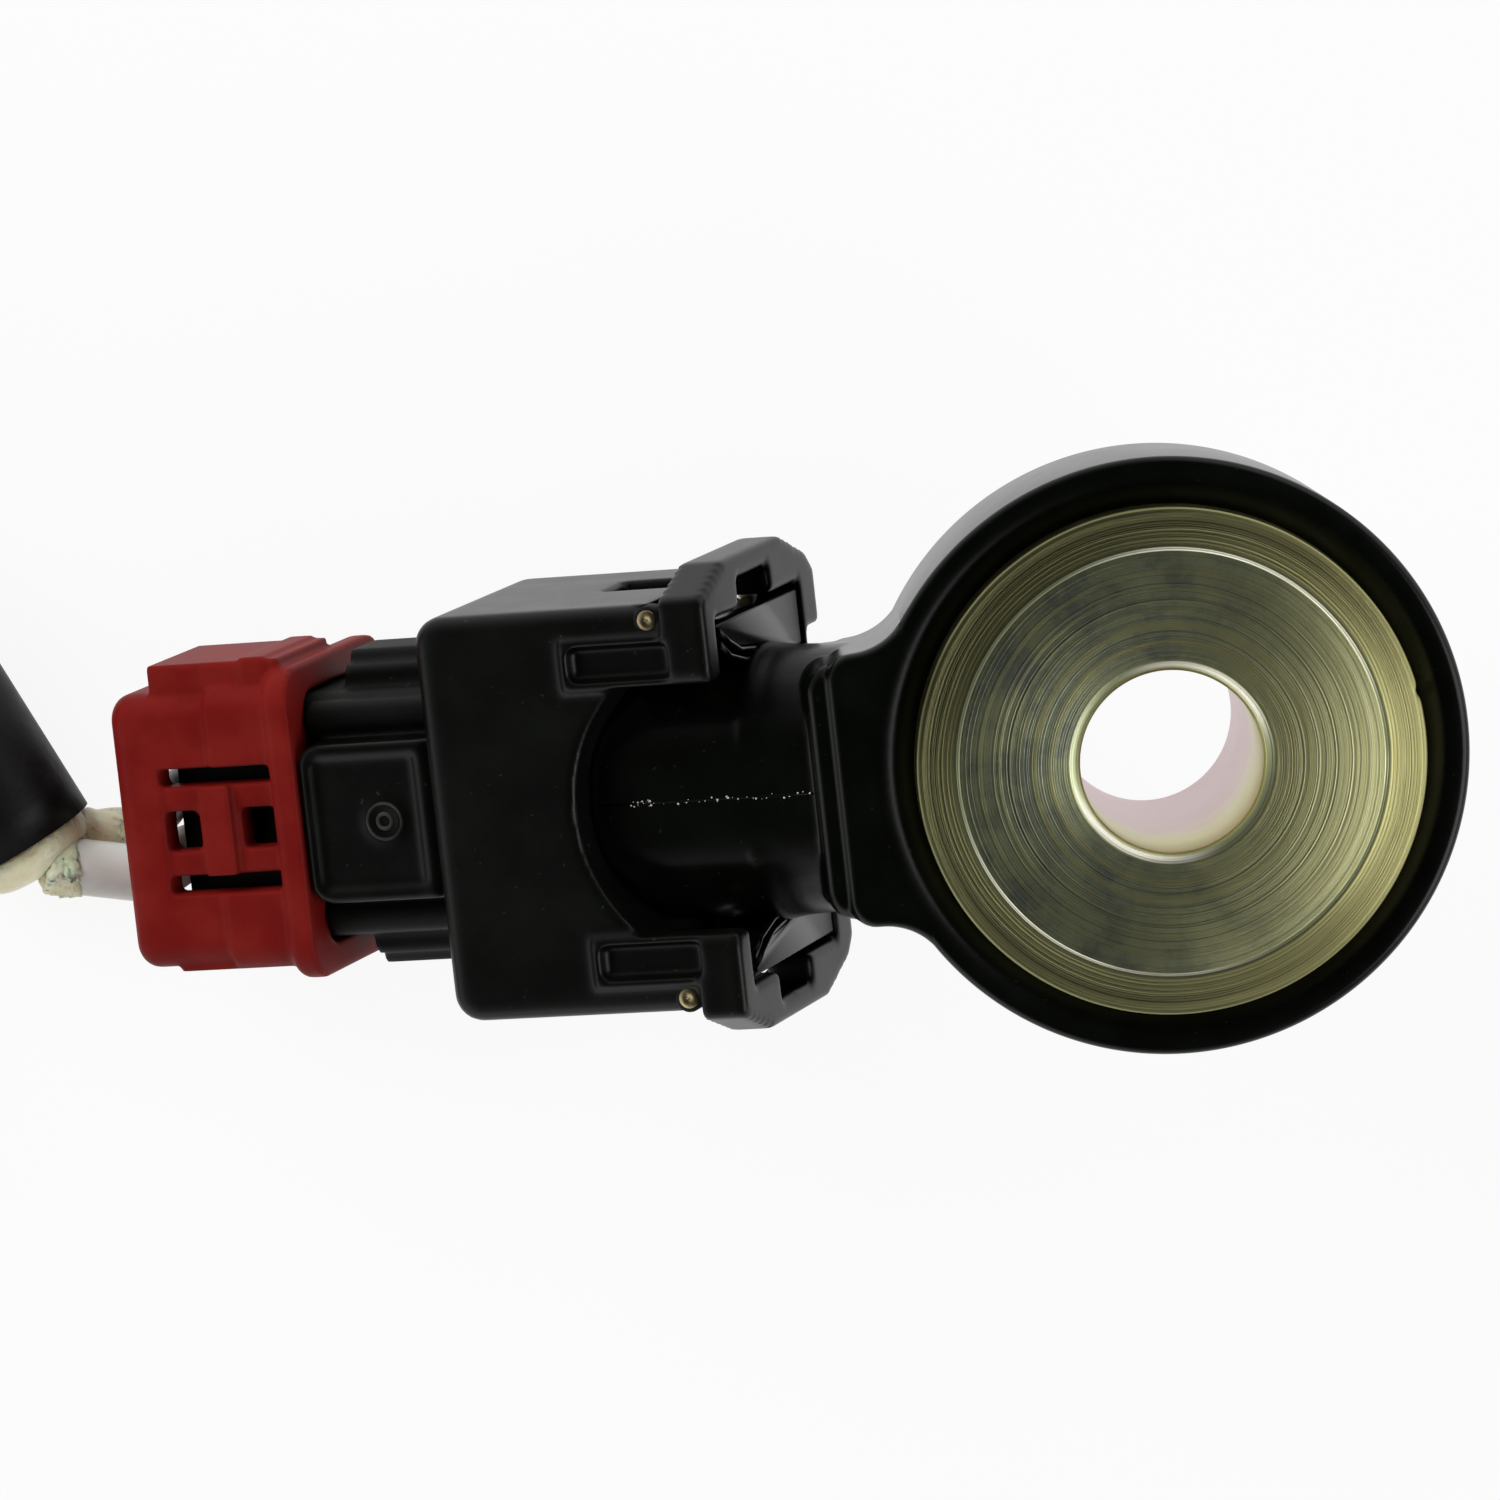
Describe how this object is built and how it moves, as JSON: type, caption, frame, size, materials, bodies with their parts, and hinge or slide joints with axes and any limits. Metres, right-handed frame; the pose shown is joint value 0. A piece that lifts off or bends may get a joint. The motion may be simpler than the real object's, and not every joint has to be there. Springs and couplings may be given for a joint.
{
  "type": "engine knock sensor",
  "caption": "Round bolt-on vibration sensor with a steel centre sleeve, a mated plug with a red rear cap, and a short sheathed lead with its far plug.",
  "frame": {"origin": "middle of the mounting face, on the axis of the bolt bore", "axes": "+Z out of the mounting face along the bore; the plug and the lead lie towards -X"},
  "size_m": [0.1628, 0.091, 0.0242],
  "materials": {
    "sleeve": "zinc plated, turned",
    "stack_metal": "machined",
    "contact_metal": "tinned",
    "insulator": "film",
    "piezo": "fired ceramic",
    "housing": "glossy black moulding",
    "plug": "satin black moulding",
    "holder": "dull dark red moulding",
    "spring": "bright wire",
    "seal": "silicone",
    "white_wire": "smooth insulation",
    "grey_wire": "smooth insulation",
    "sheath": "satin",
    "gum": "yellowed",
    "resistor": "glazed"
  },
  "bodies": {
    "root": {"base_sleeve": "sleeve", "lower_insulator": "insulator", "lower_electrode": "contact_metal", "piezo_ring": "piezo", "upper_electrode": "contact_metal", "upper_insulator": "insulator", "seismic_mass": "stack_metal", "disc_spring": "stack_metal", "clamp_nut": "stack_metal", "signal_pin": "contact_metal", "ground_pin": "contact_metal", "shunt_resistor": "resistor", "sensor_housing": "housing", "plug_housing": "plug", "interface_seal": "seal", "lock_spring": "spring", "wire_seal": "seal", "rear_holder": "holder", "socket_terminal_signal": "contact_metal", "socket_terminal_ground": "contact_metal", "wire_signal": "white_wire", "wire_ground": "grey_wire", "sheath_gum": "gum", "sheath_lead": "sheath", "sheath_coil": "sheath", "sheath_tail": "sheath", "far_housing": "plug", "far_seal": "seal", "far_wire_signal": "white_wire", "far_wire_ground": "grey_wire", "far_terminal_signal": "contact_metal", "far_terminal_ground": "contact_metal"}
  },
  "joints": []
}
